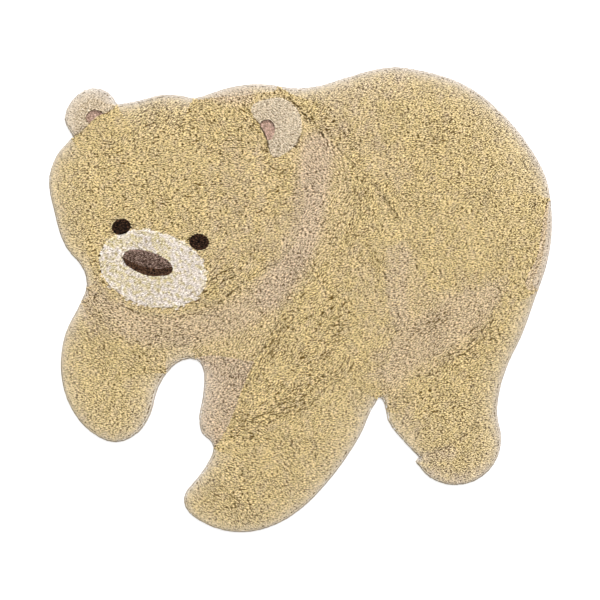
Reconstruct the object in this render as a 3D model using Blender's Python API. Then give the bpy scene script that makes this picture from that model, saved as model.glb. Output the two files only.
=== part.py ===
"""Bear shaped rug in tufted cotton cut pile, lying flat.

A woven ground cloth carries every tuft. The pile on it is divided by narrow seams into
fields, one for each yarn and each carved part of the bear. A field is the area that its
seed point reaches without crossing a seam or the edge of the rug, and it is one solid.

Metres, +Z up. The rug lies in the XY plane with its underside at Z = 0 and the origin
at the middle of its outline. The bear's back is towards +Y and its rump towards +X.
"""

import math

import bmesh
import bpy
import numpy as np
from mathutils import Vector, noise
from mathutils.geometry import delaunay_2d_cdt, interpolate_bezier

CM = 0.01

# Driving dimensions
RUG_WIDTH = 1.100  # the whole rug along X
CLOTH_THICKNESS = 0.0025
CLOTH_INSET = 0.004  # the pile spreads past the cloth's edge by this
CLEARANCE = 0.0003  # between a field's underside and the cloth
PILE_BASE = CLOTH_THICKNESS + CLEARANCE
PILE_TOP = 0.018  # above the floor, in the middle of a full field
RIM_TOP = 0.0085  # above the floor, at the outer edge of the pile
RIM_ROUND = 0.016  # width of the rounded shoulder along the outer edge
SEAM_GAP = 0.0007  # between two neighbouring fields
LUMP_HEIGHT = 0.0009  # how uneven the shorn pile is, up and down
LUMP_SPAN = 0.075
CREASE_POWER = 1.5  # 1 gives a crease straight sides, and more gives it rounded shoulders

# Spacing of the mesh
OUTLINE_STEP = 0.022
SEAM_STEP = 0.021
CARVED_STEP = 0.022
INNER_STEP = 0.034  # between the points of the grid inside a field
CLOTH_STEP = 0.080
RIM_ROWS = (0.0035, 0.012)  # how far the rows of points lie inside the outer edge
KEEP_OFF = 0.0028  # between a loose point and a line
GRID_KEEP_OFF = 0.0204  # between a point of the grid and a line or a row
APART = 0.0105  # between two loose points in a row
NARROW_CREASE = 0.007  # a crease of a smaller half width keeps every point of its rows
FEWEST_STEPS = 2  # from one given point of a curve to the next
FEWEST_OVAL_STEPS = 14
LEAST_MITER = 0.5
MERGE_WITHIN = 1e-7
IN_SEAM = 0.00033  # a triangle whose middle is nearer than this to a seam lies in its gap
SHARP_ANGLE = math.radians(50)

# The rug's outline, clockwise from the left ear: where on the bear, x and y in centimetres,
# and whether the edge turns a corner there. A smooth curve runs from corner to corner.
OUTLINE = (
    ("left ear, foot", -49.6, 35.9, True),
    ("left ear, outer side", -51.5, 39.9, False),
    ("left ear, shoulder", -49.9, 43.8, False),
    ("left ear, top", -45.6, 46.4, False),
    ("left ear, inner side", -42.0, 45.4, False),
    ("left ear meets head", -40.2, 42.8, True),
    ("forehead", -35.5, 43.6, False),
    ("forehead, top", -29.9, 45.0, False),
    ("head falls to nape", -26.2, 44.8, False),
    ("nape, dip", -23.3, 44.2, False),
    ("nape rises", -20.0, 45.1, False),
    ("nape", -15.7, 46.5, False),
    ("nape, top", -10.0, 47.3, False),
    ("behind the ear", -6.1, 47.1, False),
    ("shoulder dip", -2.2, 46.4, False),
    ("shoulder", 3.2, 46.7, False),
    ("back rises", 9.8, 48.6, False),
    ("back", 15.7, 50.3, False),
    ("back, top", 20.8, 51.0, False),
    ("back falls", 27.1, 50.1, False),
    ("loin", 36.4, 46.9, False),
    ("rump, upper", 44.0, 41.0, False),
    ("rump", 49.7, 34.2, False),
    ("rump, lower", 53.5, 27.4, False),
    ("rump, furthest", 55.0, 18.7, False),
    ("tail", 54.1, 8.9, False),
    ("thigh", 51.3, 0.5, False),
    ("thigh, lower", 48.3, -7.8, False),
    ("hock, above", 45.5, -13.6, False),
    ("hock", 43.5, -20.0, False),
    ("hock, hollow", 43.0, -24.8, False),
    ("heel", 43.9, -30.1, False),
    ("heel, lower", 43.3, -33.8, False),
    ("hind paw, back", 39.8, -38.4, False),
    ("hind paw, sole", 33.9, -40.3, False),
    ("hind paw, front", 28.6, -38.7, False),
    ("hind paw, toe", 25.4, -35.3, True),
    ("hind paw, instep", 26.3, -34.3, True),
    ("hind shin", 22.7, -30.6, False),
    ("hind knee", 19.3, -26.0, False),
    ("belly, behind the notch", 18.5, -22.3, False),
    ("belly notch", 17.4, -21.1, False),
    ("belly, before the notch", 16.4, -22.3, False),
    ("near foreleg, back", 13.0, -29.4, False),
    ("near foreleg, wrist", 6.0, -39.5, False),
    ("near paw, heel", 0.2, -45.4, False),
    ("near paw, back", -4.9, -48.7, False),
    ("near paw, sole", -12.9, -50.6, False),
    ("near paw, front", -21.0, -48.6, False),
    ("near paw, toe", -25.0, -45.2, False),
    ("near paw, tip", -25.3, -43.2, False),
    ("near paw, top", -22.4, -39.0, False),
    ("near wrist, front", -19.8, -35.1, False),
    ("near wrist meets far leg", -18.8, -32.4, False),
    ("far leg, toe", -19.6, -30.6, False),
    ("far leg, instep", -21.4, -29.0, False),
    ("far leg, ankle", -21.9, -27.2, False),
    ("far leg, front", -21.0, -19.6, False),
    ("far leg, upper", -21.4, -14.2, False),
    ("chest notch, right", -22.5, -12.9, False),
    ("chest notch, top", -25.8, -12.9, False),
    ("chest notch, left", -29.3, -15.7, False),
    ("left foreleg, inner side", -31.5, -19.6, False),
    ("left foreleg, wrist", -32.8, -24.4, False),
    ("left paw, inner side", -35.5, -28.7, False),
    ("left paw, sole", -40.5, -30.9, False),
    ("left paw, outer side", -45.7, -28.7, False),
    ("left foreleg, outer side", -50.1, -23.4, False),
    ("left foreleg, bulge", -52.3, -15.2, False),
    ("left elbow", -51.2, -7.0, False),
    ("left shoulder", -48.1, -0.7, False),
    ("throat, hollow", -46.6, 3.6, False),
    ("jaw", -47.2, 6.6, False),
    ("cheek, lower", -51.2, 11.8, False),
    ("cheek", -53.7, 19.5, False),
    ("cheek, widest", -54.8, 27.2, False),
    ("temple", -53.2, 31.8, False),
)

# Oval seams: name, centre x and y, half length and half height in centimetres, tilt in degrees
OVALS = (
    ("muzzle", -32.2, 6.9, 12.0, 8.15, -16.5),
    ("left eye", -39.1, 16.1, 2.15, 1.75, 15.0),
    ("right eye", -22.1, 12.8, 2.25, 1.8, -10.0),
)

# Closed seams through points: name, then x and y in centimetres
LOOPS = (
    (
        "nose",
        (
            (-38.9, 9.3),
            (-38.2, 10.6),
            (-36.6, 11.1),
            (-31.3, 10.1),
            (-29.0, 8.8),
            (-27.9, 7.3),
            (-28.1, 6.0),
            (-30.0, 5.4),
            (-33.2, 5.4),
            (-36.3, 6.6),
        ),
    ),
    (
        "right ear",
        (
            (-10.8, 41.3),
            (-10.1, 43.0),
            (-7.6, 43.9),
            (-4.7, 44.4),
            (-2.2, 43.4),
            (0.0, 40.4),
            (0.3, 37.2),
            (-0.8, 34.2),
            (-3.4, 32.1),
            (-5.7, 31.3),
            (-6.7, 32.4),
            (-7.3, 35.4),
            (-9.2, 39.0),
        ),
    ),
    (
        "right ear, inside",
        ((-8.9, 38.5), (-7.9, 39.5), (-6.2, 39.2), (-5.5, 37.8), (-5.9, 36.0), (-6.9, 34.9), (-7.9, 36.4)),
    ),
)

# Open seams: name, then x and y in centimetres. An end that lies near another seam is moved
# onto it, and an end past the rug's edge cuts through to the edge.
MEETS_WITHIN = 0.009
LINES = (
    (
        "left ear",
        (
            (-50.6, 35.2),
            (-48.0, 36.7),
            (-46.4, 38.3),
            (-44.3, 40.3),
            (-42.4, 41.0),
            (-41.0, 41.8),
            (-39.5, 43.6),
        ),
    ),
    (
        "left ear, inside",
        ((-46.1, 38.6), (-46.9, 39.9), (-46.2, 41.2), (-44.9, 41.7), (-43.4, 41.2), (-42.9, 40.8)),
    ),
    ("nose, fold", ((-38.8, 9.4), (-36.4, 8.3), (-34.1, 7.4), (-31.5, 7.0), (-29.3, 7.1), (-27.9, 7.5))),
    (
        "chin",
        (
            (-49.4, 5.0),
            (-45.5, 2.0),
            (-41.6, -0.1),
            (-36.1, -2.3),
            (-29.5, -3.2),
            (-21.9, -1.2),
            (-14.2, 2.5),
            (-6.6, 6.7),
            (-1.7, 11.5),
            (0.4, 17.2),
            (0.9, 23.1),
            (-0.6, 28.1),
            (-3.0, 32.3),
        ),
    ),
    ("nape", ((-24.6, 46.0), (-23.0, 43.9), (-18.6, 43.1), (-14.2, 42.5), (-10.6, 42.0))),
    (
        "shoulder",
        (
            (-5.6, 48.4),
            (-4.6, 46.6),
            (-3.0, 44.6),
            (0.4, 41.6),
            (2.9, 38.6),
            (5.6, 36.0),
            (8.2, 33.0),
            (10.3, 29.8),
            (11.2, 25.5),
            (10.6, 19.5),
            (8.9, 14.2),
            (5.9, 9.3),
            (0.8, 3.6),
            (-4.6, -3.4),
            (-8.0, -9.7),
            (-10.1, -13.4),
            (-12.2, -18.0),
            (-14.0, -22.9),
            (-15.7, -27.2),
            (-17.9, -31.0),
            (-20.4, -34.4),
        ),
    ),
    (
        "left foreleg",
        ((-49.2, 0.3), (-44.8, -1.2), (-39.8, -4.7), (-35.0, -9.1), (-31.9, -12.6), (-28.6, -17.0)),
    ),
    ("far foreleg", ((-24.0, -13.6), (-22.2, -12.4), (-19.4, -12.0), (-14.9, -12.6), (-9.6, -13.6))),
    (
        "tail",
        (
            (56.0, 23.0),
            (54.0, 21.4),
            (53.3, 18.7),
            (52.7, 15.0),
            (51.5, 8.9),
            (49.4, 4.6),
            (49.3, 2.6),
            (51.0, 2.2),
            (53.6, 2.6),
        ),
    ),
    (
        "flank",
        (
            (16.4, -24.6),
            (17.2, -21.2),
            (18.5, -17.0),
            (20.1, -10.8),
            (21.5, -4.3),
            (21.8, 2.3),
            (21.6, 7.6),
            (22.9, 12.0),
            (25.0, 7.6),
            (28.4, 2.8),
            (33.5, 1.0),
            (38.5, 1.4),
            (42.4, 4.0),
            (45.4, 5.6),
            (45.3, 2.6),
            (42.9, -0.6),
            (41.3, -3.8),
            (38.9, -8.2),
            (35.4, -11.3),
            (32.1, -13.5),
            (28.4, -15.6),
            (24.1, -17.2),
            (21.4, -20.2),
            (19.5, -23.4),
            (17.6, -26.4),
        ),
    ),
)

# Lines that are only carved into the pile: name, depth and half width in centimetres, points
CARVED = (
    (
        "shoulder line",
        *(0.30, 0.9),
        (
            (2.2, 44.2),
            (5.2, 40.9),
            (7.6, 38.2),
            (11.0, 33.4),
            (14.0, 28.6),
            (17.2, 23.0),
            (20.2, 18.6),
            (22.2, 14.4),
        ),
    ),
    (
        "near elbow",
        *(0.22, 1.0),
        ((-12.6, -27.6), (-8.3, -24.6), (-3.3, -22.4), (2.2, -18.7), (5.7, -14.3), (7.0, -9.5)),
    ),
    ("hind paw", 0.34, 0.9, ((27.2, -34.0), (30.2, -32.9), (33.9, -30.9), (37.6, -27.9))),
    ("near thigh", 0.18, 1.0, ((30.5, -8.0), (35.0, -4.6), (39.5, -0.6))),
)

# Creases along the seams: depth and half width in centimetres. Where a row is missing,
# the crease is the soft one.
SOFT_CREASE = (0.14, 0.9)
CREASES = {
    "right ear": (0.36, 0.8),
    "left ear": (0.36, 0.8),
    "right ear, inside": (0.10, 0.5),
    "left ear, inside": (0.10, 0.5),
    "nose": (0.16, 0.5),
    "nose, fold": (0.08, 0.4),
    "left eye": (0.14, 0.5),
    "right eye": (0.14, 0.5),
    "muzzle": (0.12, 0.7),
    "chin": (0.26, 0.9),
    "shoulder": (0.30, 1.1),
    "flank": (0.22, 1.0),
    "far foreleg": (0.16, 0.7),
}

# Yarns and cloth: name, base colour, roughness
YARNS = {
    "sand_yarn": ((0.56, 0.43, 0.23, 1.0), 0.95),
    "rose_yarn": ((0.55, 0.41, 0.28, 1.0), 0.95),
    "ivory_yarn": ((0.66, 0.54, 0.38, 1.0), 0.95),
    "cream_yarn": ((0.75, 0.66, 0.52, 1.0), 0.95),
    "umber_yarn": ((0.16, 0.10, 0.065, 1.0), 0.9),
    "brown_yarn": ((0.065, 0.038, 0.024, 1.0), 0.9),
    "black_yarn": ((0.020, 0.011, 0.007, 1.0), 0.9),
    "pink_yarn": ((0.46, 0.32, 0.25, 1.0), 0.95),
    "canvas": ((0.62, 0.55, 0.43, 1.0), 0.95),
}

# The fields of pile: name, seed x and y in centimetres, height against the full pile in
# centimetres, yarn
FIELDS = (
    ("pile_head", -25.0, 25.0, 0.00, "sand_yarn"),
    ("pile_body", 32.0, 28.0, 0.00, "sand_yarn"),
    ("pile_left_foreleg", -42.0, -18.0, 0.00, "sand_yarn"),
    ("pile_neck", 4.0, 25.0, -0.10, "rose_yarn"),
    ("pile_far_foreleg", -18.0, -20.0, -0.35, "rose_yarn"),
    ("pile_flank", 30.0, -8.0, -0.12, "rose_yarn"),
    ("pile_tail", 52.0, 5.2, -0.10, "rose_yarn"),
    ("muzzle", -33.0, 2.0, 0.05, "cream_yarn"),
    ("nose_bridge", -33.0, 9.4, 0.05, "umber_yarn"),
    ("nose_underside", -33.0, 6.5, 0.00, "brown_yarn"),
    ("eye_left", -39.1, 16.1, 0.00, "black_yarn"),
    ("eye_right", -22.1, 12.8, 0.00, "black_yarn"),
    ("ear_left", -48.5, 42.0, -0.05, "ivory_yarn"),
    ("ear_right", -3.0, 40.5, -0.05, "ivory_yarn"),
    ("inner_ear_left", -44.9, 40.9, -0.75, "pink_yarn"),
    ("inner_ear_right", -7.2, 37.4, -0.75, "pink_yarn"),
)


def smooth_curve(points, step, closed):
    """Points about a step apart on a smooth curve through the given ones."""
    ahead = np.roll(points, -1, axis=0) - points
    behind = points - np.roll(points, 1, axis=0)
    if not closed:
        ahead[-1], behind[0] = behind[-1], ahead[0]
    reach = np.linalg.norm(ahead, axis=1)
    heading = ahead / reach[:, None] ** 2 + behind / (behind**2).sum(1)[:, None]
    heading /= np.linalg.norm(heading, axis=1)[:, None]
    found = []
    for i in range(len(points) if closed else len(points) - 1):
        j = (i + 1) % len(points)
        pull = reach[i] / 3
        knots = points[i], points[i] + heading[i] * pull, points[j] - heading[j] * pull, points[j]
        count = max(FEWEST_STEPS, math.ceil(reach[i] / step))
        found += interpolate_bezier(*map(Vector, knots), count + 1)[:-1]
    if not closed:
        found.append(Vector(points[-1]))
    return np.array([tuple(point) for point in found])


def outline_curve():
    """The rug's edge as a closed line: a smooth stretch from each corner to the next."""
    corners = [i for i, row in enumerate(OUTLINE) if row[3]]
    stretches = []
    for first, last in zip(corners, corners[1:] + [corners[0] + len(OUTLINE)], strict=True):
        rows = [OUTLINE[i % len(OUTLINE)] for i in range(first, last + 1)]
        points = np.array([(x, y) for _, x, y, _ in rows]) * CM
        stretches.append(smooth_curve(points, OUTLINE_STEP, closed=False)[:-1])
    return np.vstack(stretches)


def oval_curve(x, y, half_length, half_height, tilt):
    count = max(FEWEST_OVAL_STEPS, math.ceil(2 * math.pi * half_length * CM / SEAM_STEP))
    turn = np.linspace(0, 2 * math.pi, count, endpoint=False)
    oval = np.column_stack([half_length * np.cos(turn), half_height * np.sin(turn)])
    cos, sin = math.cos(math.radians(tilt)), math.sin(math.radians(tilt))
    return (oval @ np.array([(cos, sin), (-sin, cos)]) + (x, y)) * CM


def segments(line, closed):
    """The start and the end of each stretch of a line."""
    ends = np.roll(line, -1, axis=0) if closed else line[1:]
    return line[: len(ends)], ends


def distance_to(points, line, closed):
    """How far each point is from a line, and the nearest point on it."""
    starts, ends = segments(line, closed)
    along = ends - starts
    share = ((points[:, None] - starts) * along).sum(2) / (along * along).sum(1)
    nearest = starts + np.clip(share, 0, 1)[:, :, None] * along
    far = np.linalg.norm(points[:, None] - nearest, axis=2)
    best = far.argmin(1)
    rows = np.arange(len(points))
    return far[rows, best], nearest[rows, best]


def inside(points, loop):
    """Whether each point is within a closed line: a ray to its right crosses it an odd number of times."""
    starts, ends = segments(loop, closed=True)
    x, y = points[:, :1], points[:, 1:]
    spans = (starts[:, 1] > y) != (ends[:, 1] > y)
    rise = np.where(ends[:, 1] == starts[:, 1], 1.0, ends[:, 1] - starts[:, 1])
    crossing = starts[:, 0] + (y - starts[:, 1]) / rise * (ends[:, 0] - starts[:, 0])
    return (spans & (x < crossing)).sum(1) % 2 == 1


def beside(line, offset, closed):
    """The line moved sideways: to the left of its own direction where the offset is positive."""
    if closed:
        ahead, behind = np.roll(line, -1, axis=0) - line, line - np.roll(line, 1, axis=0)
    else:
        steps = np.diff(line, axis=0)
        ahead, behind = np.vstack([steps, steps[-1:]]), np.vstack([steps[:1], steps])
    left_ahead, left_behind = (
        np.column_stack([-d[:, 1], d[:, 0]]) / np.linalg.norm(d, axis=1)[:, None] for d in (ahead, behind)
    )
    middle = left_ahead + left_behind
    middle /= np.linalg.norm(middle, axis=1)[:, None]
    miter = np.clip((middle * left_ahead).sum(1), LEAST_MITER, 1.0)
    return line + offset * middle / miter[:, None]


def seam_curves():
    """Every seam as {name: (line, closed)}, the ends of open ones moved onto the seams they meet."""
    seams = {}
    for name, x, y, half_length, half_height, tilt in OVALS:
        seams[name] = (oval_curve(x, y, half_length, half_height, tilt), True)
    for name, points in LOOPS:
        seams[name] = (smooth_curve(np.array(points) * CM, SEAM_STEP, closed=True), True)
    for name, points in LINES:
        seams[name] = (smooth_curve(np.array(points) * CM, SEAM_STEP, closed=False), False)
    for name, _ in LINES:
        line = seams[name][0]
        for end in (0, -1):
            for other in seams:
                if other != name:
                    far, nearest = distance_to(line[[end]], *seams[other])
                    if far[0] < MEETS_WITHIN:
                        line[end] = nearest[0]
    return seams


def crease_of(seam):
    """Depth and half width of a seam's crease, in metres."""
    depth, half_width = CREASES.get(seam, SOFT_CREASE)
    return depth * CM, half_width * CM


class Plan:
    """The rug seen from above, in metres: its edge, its seams and its carved lines."""

    def __init__(self):
        drawn = outline_curve()
        self.middle = (drawn.min(0) + drawn.max(0)) / 2
        self.scale = RUG_WIDTH / np.ptp(drawn[:, 0])
        self.edge = self.placed(drawn)
        self.seams = {name: (self.placed(line), closed) for name, (line, closed) in seam_curves().items()}
        self.carved = []
        for _, depth, half_width, points in CARVED:
            line = smooth_curve(np.array(points) * CM, CARVED_STEP, closed=False)
            self.carved.append((self.placed(line), depth * CM, half_width * CM))

    def placed(self, drawn):
        return (drawn - self.middle) * self.scale

    def dips(self, points):
        """How far the creases and the carved lines lower the pile at each point."""
        lines = [(line, closed, *crease_of(name)) for name, (line, closed) in self.seams.items()]
        lines += [(line, False, depth, half_width) for line, depth, half_width in self.carved]
        deepest = np.zeros(len(points))
        for line, closed, depth, half_width in lines:
            nearness = np.clip(1 - distance_to(points, line, closed)[0] / half_width, 0, 1)
            deepest = np.maximum(deepest, depth * nearness**CREASE_POWER)
        return deepest

    def height(self, points, level):
        """Top of the pile above the floor at each point, in a field of a given level."""
        outwards = np.clip(1 - distance_to(points, self.edge, closed=True)[0] / RIM_ROUND, 0, 1)
        rise = PILE_TOP + level - RIM_TOP
        z = RIM_TOP + rise * np.sqrt(1 - outwards**2)
        lumps = np.array([noise.noise(Vector((x, y, 0.0)) / LUMP_SPAN) for x, y in points])
        share = (z - PILE_BASE) / (PILE_TOP - PILE_BASE)
        return z + share * (LUMP_HEIGHT * lumps - self.dips(points))

    def ribbons(self):
        """Closed lines round the gap of every seam."""
        found = []
        for line, closed in self.seams.values():
            left, right = (beside(line, side * SEAM_GAP / 2, closed) for side in (1, -1))
            found += [left, right] if closed else [np.vstack([left, right[::-1]])]
        return found

    def shoulder_rows(self):
        """Points that shape the rounded edge, the creases and the carved lines."""
        rows = [beside(self.edge, -row, closed=True) for row in RIM_ROWS]
        for name, (line, closed) in self.seams.items():
            half_width = crease_of(name)[1]
            stretch = line if closed else line[1:-1]
            every = 1 if half_width < NARROW_CREASE else 2
            rows += [beside(stretch, side * half_width, closed)[::every] for side in (1, -1)]
        for line, _, half_width in self.carved:
            rows += [beside(line, side * half_width, closed=False) for side in (1, -1)]
        return np.vstack(rows)

    def triangles(self):
        """Points and triangles of the whole plan, with the edge and every ribbon as edges."""
        loops = [self.edge, *self.ribbons()]
        edges = ring_edges([len(loop) for loop in loops])
        fixed = np.vstack([*loops, *(line for line, _, _ in self.carved)])
        rows = spread_out(self.shoulder_rows(), fixed, KEEP_OFF, APART)
        grid = hex_grid(self.edge, INNER_STEP)
        grid = spread_out(grid, np.vstack([fixed, rows]), GRID_KEEP_OFF, INNER_STEP / 2)
        loose = np.vstack([rows, grid])
        return triangulated(np.vstack([fixed, loose[inside(loose, self.edge)]]), edges)


def ring_edges(counts):
    """Pairs of point numbers that close one ring after another."""
    rings = []
    for first, count in zip(np.cumsum([0, *counts]), counts, strict=False):
        ends = np.arange(count)
        rings.append(first + np.column_stack([ends, (ends + 1) % count]))
    return np.vstack(rings)


def hex_grid(loop, step):
    """Points in staggered rows over the box of a loop."""
    low, high = loop.min(0), loop.max(0)
    found = []
    for index, y in enumerate(np.arange(low[1], high[1], step * math.sqrt(3) / 2)):
        xs = np.arange(low[0] + (index % 2) * step / 2, high[0], step)
        found.append(np.column_stack([xs, np.full(len(xs), y)]))
    return np.vstack(found)


def spread_out(points, fixed, keep_off, apart):
    """The points that stay clear of the fixed ones and, in order, of each other."""
    kept = []
    for point in points:
        near_fixed = np.linalg.norm(fixed - point, axis=1).min() < keep_off
        if near_fixed or (kept and np.linalg.norm(np.array(kept) - point, axis=1).min() < apart):
            continue
        kept.append(point)
    return np.array(kept)


def triangulated(points, edges):
    """The points and triangles of a triangulation that keeps the given edges."""
    made = delaunay_2d_cdt([Vector(point) for point in points], edges.tolist(), [], 0, MERGE_WITHIN, False)
    return np.array([tuple(point) for point in made[0]]), np.array(made[2])


def side_pairs(triangles):
    """The two ends of each triangle's three sides, as they run round it."""
    return np.concatenate([triangles[:, [0, 1]], triangles[:, [1, 2]], triangles[:, [2, 0]]])


def connected(triangles):
    """A number for each triangle, the same for triangles that hang together by their sides."""
    ends = np.sort(side_pairs(triangles), axis=1)
    owner = np.tile(np.arange(len(triangles)), 3)
    order = np.lexsort(ends.T)
    ends, owner = ends[order], owner[order]
    shared = np.flatnonzero((ends[1:] == ends[:-1]).all(1))
    one, other = owner[shared], owner[shared + 1]
    group = np.arange(len(triangles))
    while True:
        lower = np.minimum(group[one], group[other])
        updated = group.copy()
        np.minimum.at(updated, one, lower)
        np.minimum.at(updated, other, lower)
        if (updated == group).all():
            return group
        group = updated


def fields_of(plan):
    """{field name: (points, triangles)}: the triangles outside every seam, shared out by seed point."""
    points, triangles = plan.triangles()
    middles = points[triangles].mean(1)
    kept = inside(middles, plan.edge)
    for line, closed in plan.seams.values():
        kept &= distance_to(middles, line, closed)[0] > IN_SEAM
    triangles, middles = triangles[kept], middles[kept]
    group = connected(triangles)
    fields = {}
    for name, x, y, _, _ in FIELDS:
        seed = plan.placed(np.array([x, y]) * CM)
        nearest = np.linalg.norm(middles - seed, axis=1).argmin()
        fields[name] = (points, triangles[group == group[nearest]])
    return fields


def slab(name, points, triangles, top, bottom):
    """A closed solid over a patch of the plan, with a height for each point and a flat underside."""
    used, local = np.unique(triangles, return_inverse=True)
    local = local.reshape(-1, 3)
    mesh = bmesh.new()
    upper = [mesh.verts.new((*points[i], top[i])) for i in used]
    lower = [mesh.verts.new((*points[i], bottom)) for i in used]
    for a, b, c in local:
        mesh.faces.new((upper[a], upper[b], upper[c]))
        mesh.faces.new((lower[c], lower[b], lower[a]))
    sides = {(int(a), int(b)) for a, b in side_pairs(local)}
    for a, b in sorted(sides):
        if (b, a) not in sides:
            mesh.faces.new((upper[b], upper[a], lower[a], lower[b]))
    bmesh.ops.recalc_face_normals(mesh, faces=mesh.faces)
    data = bpy.data.meshes.new(name)
    mesh.to_mesh(data)
    mesh.free()
    data.shade_smooth()
    data.set_sharp_from_angle(angle=SHARP_ANGLE)
    return data


def ground_cloth(plan):
    """The woven cloth, drawn in a little from the pile's edge."""
    loop = beside(plan.edge, -CLOTH_INSET, closed=True)
    grid = hex_grid(loop, CLOTH_STEP)
    grid = spread_out(grid[inside(grid, loop)], loop, INNER_STEP, CLOTH_STEP / 2)
    points, triangles = triangulated(np.vstack([loop, grid]), ring_edges([len(loop)]))
    triangles = triangles[inside(points[triangles].mean(1), loop)]
    return slab("ground_cloth", points, triangles, np.full(len(points), CLOTH_THICKNESS), 0.0)


def pile_field(name, points, triangles, plan, level):
    top = np.zeros(len(points))
    used = np.unique(triangles)
    top[used] = plan.height(points[used], level * CM)
    return slab(name, points, triangles, top, PILE_BASE)


def yarn_material(name):
    material = bpy.data.materials.new(name)
    material.use_nodes = True
    shader = material.node_tree.nodes["Principled BSDF"]
    colour, roughness = YARNS[name]
    shader.inputs["Base Color"].default_value = colour
    shader.inputs["Roughness"].default_value = roughness
    shader.inputs["Metallic"].default_value = 0.0
    material.diffuse_color = colour
    return material


def add_object(data, material, parent):
    obj = bpy.data.objects.new(data.name, data)
    data.materials.append(material)
    bpy.context.scene.collection.objects.link(obj)
    obj.parent = parent


def build():
    for obj in list(bpy.data.objects):
        bpy.data.objects.remove(obj, do_unlink=True)
    rug = bpy.data.objects.new("rug", None)
    bpy.context.scene.collection.objects.link(rug)
    materials = {name: yarn_material(name) for name in YARNS}
    plan = Plan()
    add_object(ground_cloth(plan), materials["canvas"], rug)
    fields = fields_of(plan)
    for name, _, _, level, yarn in FIELDS:
        add_object(pile_field(name, *fields[name], plan, level), materials[yarn], rug)


build()
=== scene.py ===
import math

import bpy
import numpy as np
from mathutils.bvhtree import BVHTree
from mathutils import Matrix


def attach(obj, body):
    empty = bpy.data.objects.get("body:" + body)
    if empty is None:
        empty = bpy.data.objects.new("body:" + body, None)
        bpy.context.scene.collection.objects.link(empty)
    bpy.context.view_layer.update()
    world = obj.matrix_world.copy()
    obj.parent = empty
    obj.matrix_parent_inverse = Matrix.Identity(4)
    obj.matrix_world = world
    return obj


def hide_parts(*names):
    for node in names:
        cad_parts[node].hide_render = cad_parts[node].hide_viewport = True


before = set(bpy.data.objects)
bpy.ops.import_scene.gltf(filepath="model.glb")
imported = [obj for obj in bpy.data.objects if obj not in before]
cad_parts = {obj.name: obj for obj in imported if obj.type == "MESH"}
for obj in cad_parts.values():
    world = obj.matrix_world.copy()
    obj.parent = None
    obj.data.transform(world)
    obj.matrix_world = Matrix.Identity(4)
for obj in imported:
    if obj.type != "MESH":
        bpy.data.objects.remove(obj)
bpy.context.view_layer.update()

# The strokes over the pile are given on a drawing of the bear, in centimetres from its middle, +y to its back.
drawing = {"metresPerCm": 0.010008, "middle": (-0.00078, -0.002)}
cm = 0.01


def onRug(points):
    return np.array(points, float) * drawing["metresPerCm"] + drawing["middle"]


def dye(red, green, blue):  # a colour from 0 to 255 as a screen shows it, made ready for a shader
    return tuple(((part / 255 + 0.055) / 1.055) ** 2.4 for part in (red, green, blue)) + (1.0,)


# Tip of a yarn and its root, whose darker colour is painted shade low in the pile, the second yarn tufted in
# among it, its colour in the painted light at the rug's edge, its whiter flecks, partly painted highlight, and
# how fuzzy it is
yarns = {
    "sand_yarn": {
        "tip": (240, 217, 157), "root": (104, 76, 10),
        "secondTip": (226, 204, 172), "secondRoot": (104, 78, 34),
        "edge": (220, 209, 196), "fleck": (238, 219, 174), "fuzz": 0.12,
    },
    "rose_yarn": {
        "tip": (240, 217, 157), "root": (104, 76, 10),
        "secondTip": (234, 211, 181), "secondRoot": (104, 76, 34),
        "edge": (220, 209, 196), "fleck": (236, 217, 184), "fuzz": 0.12,
    },
    "ivory_yarn": {
        "tip": (238, 222, 194), "root": (120, 96, 60),
        "secondTip": (230, 209, 176), "secondRoot": (116, 90, 52),
        "edge": (226, 216, 204), "fleck": (246, 236, 218), "fuzz": 0.12,
    },
    "cream_yarn": {
        "tip": (250, 241, 234), "root": (184, 164, 142),
        "secondTip": (234, 220, 170), "secondRoot": (166, 144, 90),
        "edge": (240, 230, 216), "fleck": (252, 246, 240), "fuzz": 0.12,
    },
    "umber_yarn": {
        "tip": (158, 130, 116), "root": (54, 37, 28),
        "secondTip": (106, 81, 66), "secondRoot": (40, 27, 20),
        "edge": (132, 108, 90), "fleck": (200, 172, 156), "fuzz": 0.06,
    },
    "brown_yarn": {
        "tip": (92, 63, 43), "root": (26, 15, 8),
        "secondTip": (66, 42, 27), "secondRoot": (22, 13, 7),
        "edge": (92, 69, 54), "fleck": (120, 90, 70), "fuzz": 0.03,
    },
    "black_yarn": {
        "tip": (55, 36, 23), "root": (11, 6, 3),
        "secondTip": (38, 23, 13), "secondRoot": (9, 5, 2),
        "edge": (52, 36, 25), "fleck": (108, 76, 56), "fuzz": 0.01,
    },
    "pink_yarn": {
        "tip": (230, 197, 178), "root": (176, 142, 122),
        "secondTip": (218, 184, 163), "secondRoot": (160, 126, 106),
        "edge": (206, 180, 162), "fleck": (230, 200, 182), "fuzz": 0.1,
    },
}

dyes = ("tip", "root", "secondTip", "secondRoot", "edge", "fleck")

# How far up a tuft its root's painted shade reaches, where whiter flecks and painted highlights begin and are
# full, how uneven its fibres are, how strong the painted shade in the slits is and how much painted light and
# shade play over the lay
tint = {
    "rootReach": 0.95, "fleckAbove": 0.5, "fleckFull": 0.8, "fibreSize": 360.0, "fibreStrength": 0.2,
    "slitStrength": 1.0, "sheenOfLay": 1.3,
}
fibreBump = {"size": 900.0, "strength": 0.25, "height": 0.0006}

# The fine slits between the tufts, whose darkness is painted shade: how many to a metre across the lay, how
# much longer than wide, how many there are in smooth pile and how many more in crumbly pile, and how soft their
# sides are. Longer slits run through crumbly pile. Both lower the pile by drop metres, and turn with the lay in
# steps of sector.
slits = {
    "size": 540.0, "dash": 3.2, "fewest": 0.4, "more": 0.03,
    "longSize": 300.0, "longDash": 7.0, "longFewest": 0.205, "longMore": 0.145,
    "soft": 0.03, "drop": 0.001, "sector": math.radians(15),
}


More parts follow.
